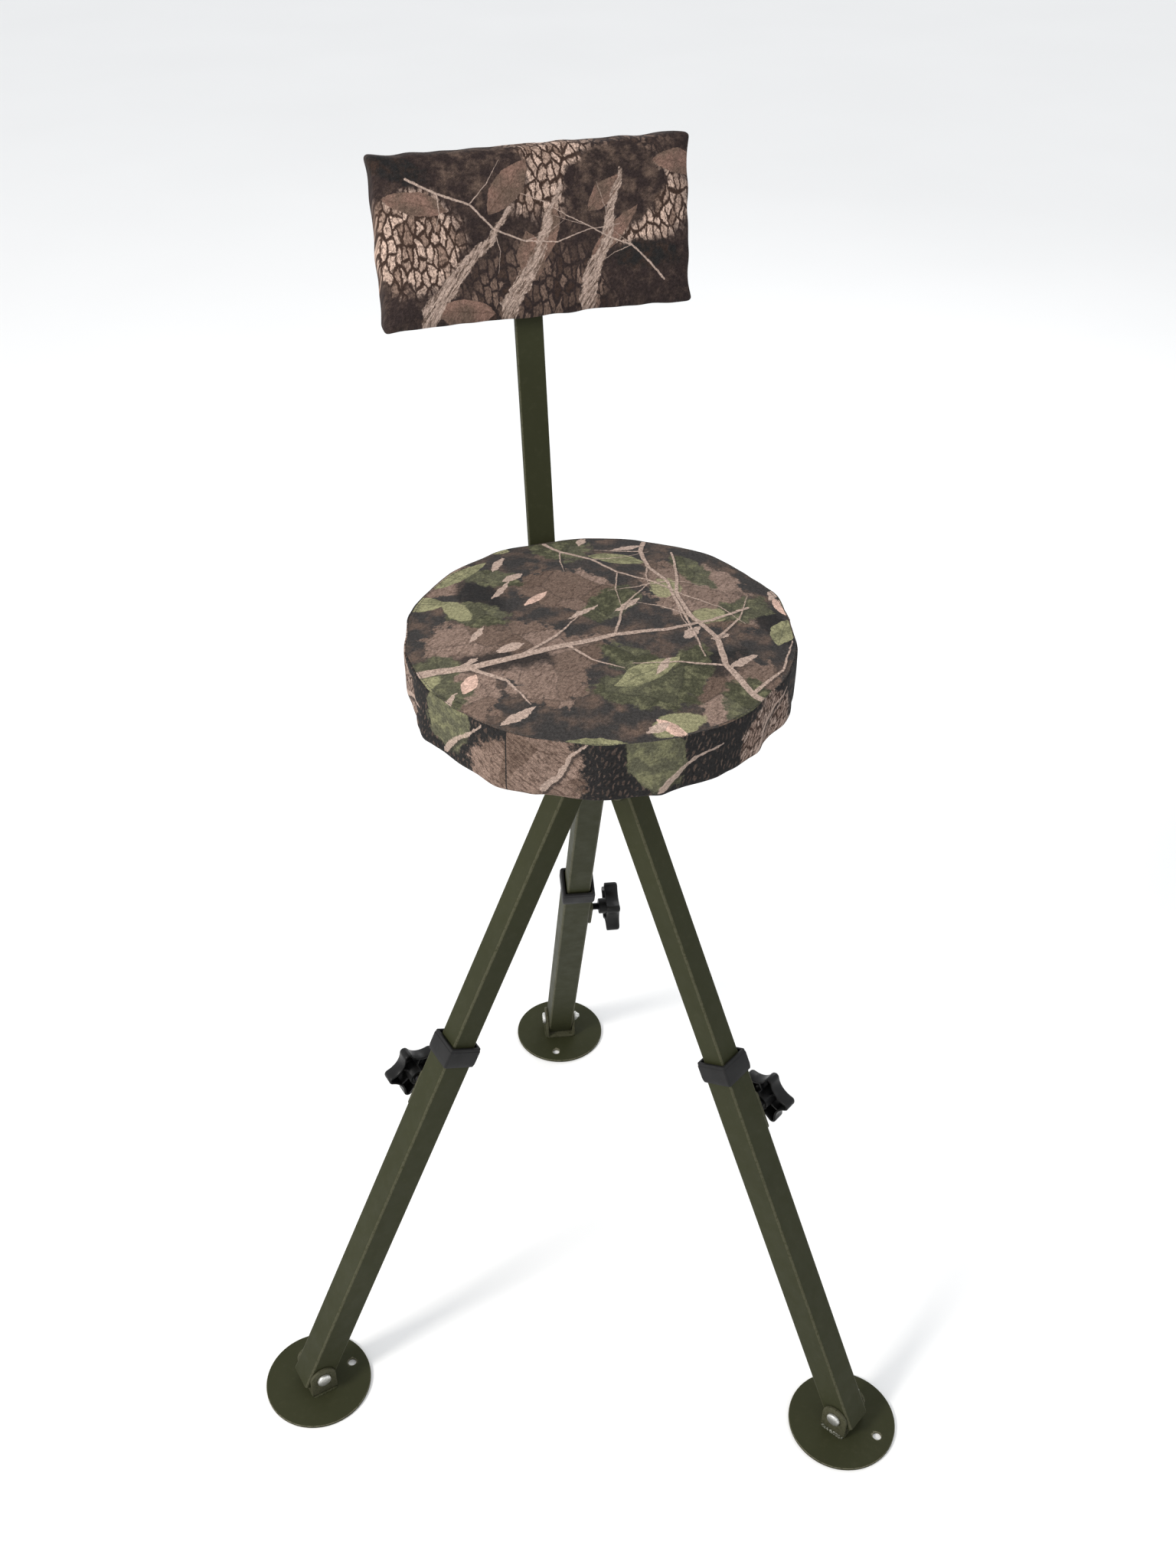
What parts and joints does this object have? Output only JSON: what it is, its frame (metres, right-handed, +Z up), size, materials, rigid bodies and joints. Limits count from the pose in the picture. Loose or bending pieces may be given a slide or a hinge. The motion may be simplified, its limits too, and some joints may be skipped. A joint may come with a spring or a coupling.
{
  "type": "swivel tripod stool",
  "caption": "Tripod stool with a round padded swivel seat, a padded backrest on a flat post, telescoping square legs with clamping knobs, and tilting flat feet.",
  "frame": {"origin": "middle of the bottom of the bounding box at rest, on the ground between the feet; the swivel axis is 15 mm towards +X and 59 mm towards -Y from it", "axes": "+Z up; -Y is the side between the two front legs; +X is to the right of a person who faces the stool from there"},
  "size_m": [0.66, 0.6654, 1.1598],
  "materials": {
    "olive_paint": "satin olive drab paint on steel, lightly worn at the edges",
    "collar_plastic": "charcoal moulded plastic with a fine texture",
    "knob_plastic": "black moulded plastic, slightly glossy",
    "black_steel": "black oxide",
    "zinc": "bright zinc plating",
    "nylon": "natural nylon",
    "plywood": "bare plywood",
    "camouflage_fabric": "woven polyester printed with a bark, leaf and branch camouflage of no particular maker"
  },
  "bodies": {
    "hub": {"hub_plate": "olive_paint", "hub_sleeve": "olive_paint", "upper_bush": "nylon", "lower_bush": "nylon", "left_clevis": "olive_paint", "left_hub_bolt": "zinc", "left_hub_nut": "zinc", "right_clevis": "olive_paint", "right_hub_bolt": "zinc", "right_hub_nut": "zinc", "back_clevis": "olive_paint", "back_hub_bolt": "zinc", "back_hub_nut": "zinc"},
    "seat": {"swivel_spindle": "olive_paint", "retaining_washer": "zinc", "retaining_bolt": "zinc", "seat_plate": "olive_paint", "seat_board": "plywood", "seat_cushion": "camouflage_fabric", "seat_screw_left": "zinc", "seat_screw_right": "zinc", "back_post": "olive_paint", "post_bolt_front": "zinc", "post_nut_front": "zinc", "post_bolt_rear": "zinc", "post_nut_rear": "zinc", "back_board": "plywood", "back_cushion": "camouflage_fabric", "back_screw_lower": "zinc", "back_screw_upper": "zinc"},
    "left_upper_leg": {"left_upper_tube": "olive_paint"},
    "left_lower_leg": {"left_lower_tube": "olive_paint", "left_collar": "collar_plastic", "left_boss": "olive_paint"},
    "left_clamp": {"left_stud": "black_steel", "left_knob": "knob_plastic"},
    "left_foot": {"left_foot_disc": "olive_paint", "left_foot_bracket": "olive_paint", "left_foot_bolt": "zinc", "left_foot_nut": "zinc"},
    "right_upper_leg": {"right_upper_tube": "olive_paint"},
    "right_lower_leg": {"right_lower_tube": "olive_paint", "right_collar": "collar_plastic", "right_boss": "olive_paint"},
    "right_clamp": {"right_stud": "black_steel", "right_knob": "knob_plastic"},
    "right_foot": {"right_foot_disc": "olive_paint", "right_foot_bracket": "olive_paint", "right_foot_bolt": "zinc", "right_foot_nut": "zinc"},
    "back_upper_leg": {"back_upper_tube": "olive_paint"},
    "back_lower_leg": {"back_lower_tube": "olive_paint", "back_collar": "collar_plastic", "back_boss": "olive_paint"},
    "back_clamp": {"back_stud": "black_steel", "back_knob": "knob_plastic"},
    "back_foot": {"back_foot_disc": "olive_paint", "back_foot_bracket": "olive_paint", "back_foot_bolt": "zinc", "back_foot_nut": "zinc"}
  },
  "joints": [
    {"name": "seat_swivel", "type": "hinge", "parent": "hub", "child": "seat", "pos_m": [0.0147, -0.05933, 0.75], "axis": [0, 0, 1], "continuous": true},
    {"name": "left_leg_fold", "type": "hinge", "parent": "hub", "child": "left_upper_leg", "pos_m": [-0.00917, -0.07396, 0.683], "axis": [0.5225, -0.8526, 0], "range_deg": [0, 19]},
    {"name": "left_leg_slide", "type": "slide", "parent": "left_upper_leg", "child": "left_lower_leg", "axis": [-0.3662, -0.2244, -0.9031], "range_m": [-0.24, 0.065]},
    {"name": "left_knob_turn", "type": "hinge", "parent": "left_lower_leg", "child": "left_clamp", "pos_m": [-0.14299, -0.15596, 0.35301], "axis": [-0.5225, 0.8526, 0], "range_deg": [0, 540]},
    {"name": "left_foot_tilt", "type": "hinge", "parent": "left_lower_leg", "child": "left_foot", "pos_m": [-0.27519, -0.23698, 0.027], "axis": [0.5225, -0.8526, 0], "range_deg": [-105, 60]},
    {"name": "right_leg_fold", "type": "hinge", "parent": "hub", "child": "right_upper_leg", "pos_m": [0.03615, -0.07733, 0.683], "axis": [0.6428, 0.766, 0], "range_deg": [0, 19]},
    {"name": "right_leg_slide", "type": "slide", "parent": "right_upper_leg", "child": "right_lower_leg", "axis": [0.329, -0.2761, -0.9031], "range_m": [-0.24, 0.065]},
    {"name": "right_knob_turn", "type": "hinge", "parent": "right_lower_leg", "child": "right_clamp", "pos_m": [0.15638, -0.17821, 0.35301], "axis": [0.6428, 0.766, 0], "range_deg": [0, 540]},
    {"name": "right_foot_tilt", "type": "hinge", "parent": "right_lower_leg", "child": "right_foot", "pos_m": [0.27516, -0.27788, 0.027], "axis": [0.6428, 0.766, 0], "range_deg": [-105, 60]},
    {"name": "back_leg_fold", "type": "hinge", "parent": "hub", "child": "back_upper_leg", "pos_m": [0.01105, -0.03157, 0.683], "axis": [-0.9914, -0.1305, 0], "range_deg": [0, 19]},
    {"name": "back_leg_slide", "type": "slide", "parent": "back_upper_leg", "child": "back_lower_leg", "axis": [-0.0561, 0.4258, -0.9031], "range_m": [-0.24, 0.065]},
    {"name": "back_knob_turn", "type": "hinge", "parent": "back_lower_leg", "child": "back_clamp", "pos_m": [-0.00944, 0.12404, 0.35301], "axis": [0.9914, 0.1305, 0], "range_deg": [0, 540]},
    {"name": "back_foot_tilt", "type": "hinge", "parent": "back_lower_leg", "child": "back_foot", "pos_m": [-0.02967, 0.27776, 0.027], "axis": [-0.9914, -0.1305, 0], "range_deg": [-105, 60]}
  ]
}
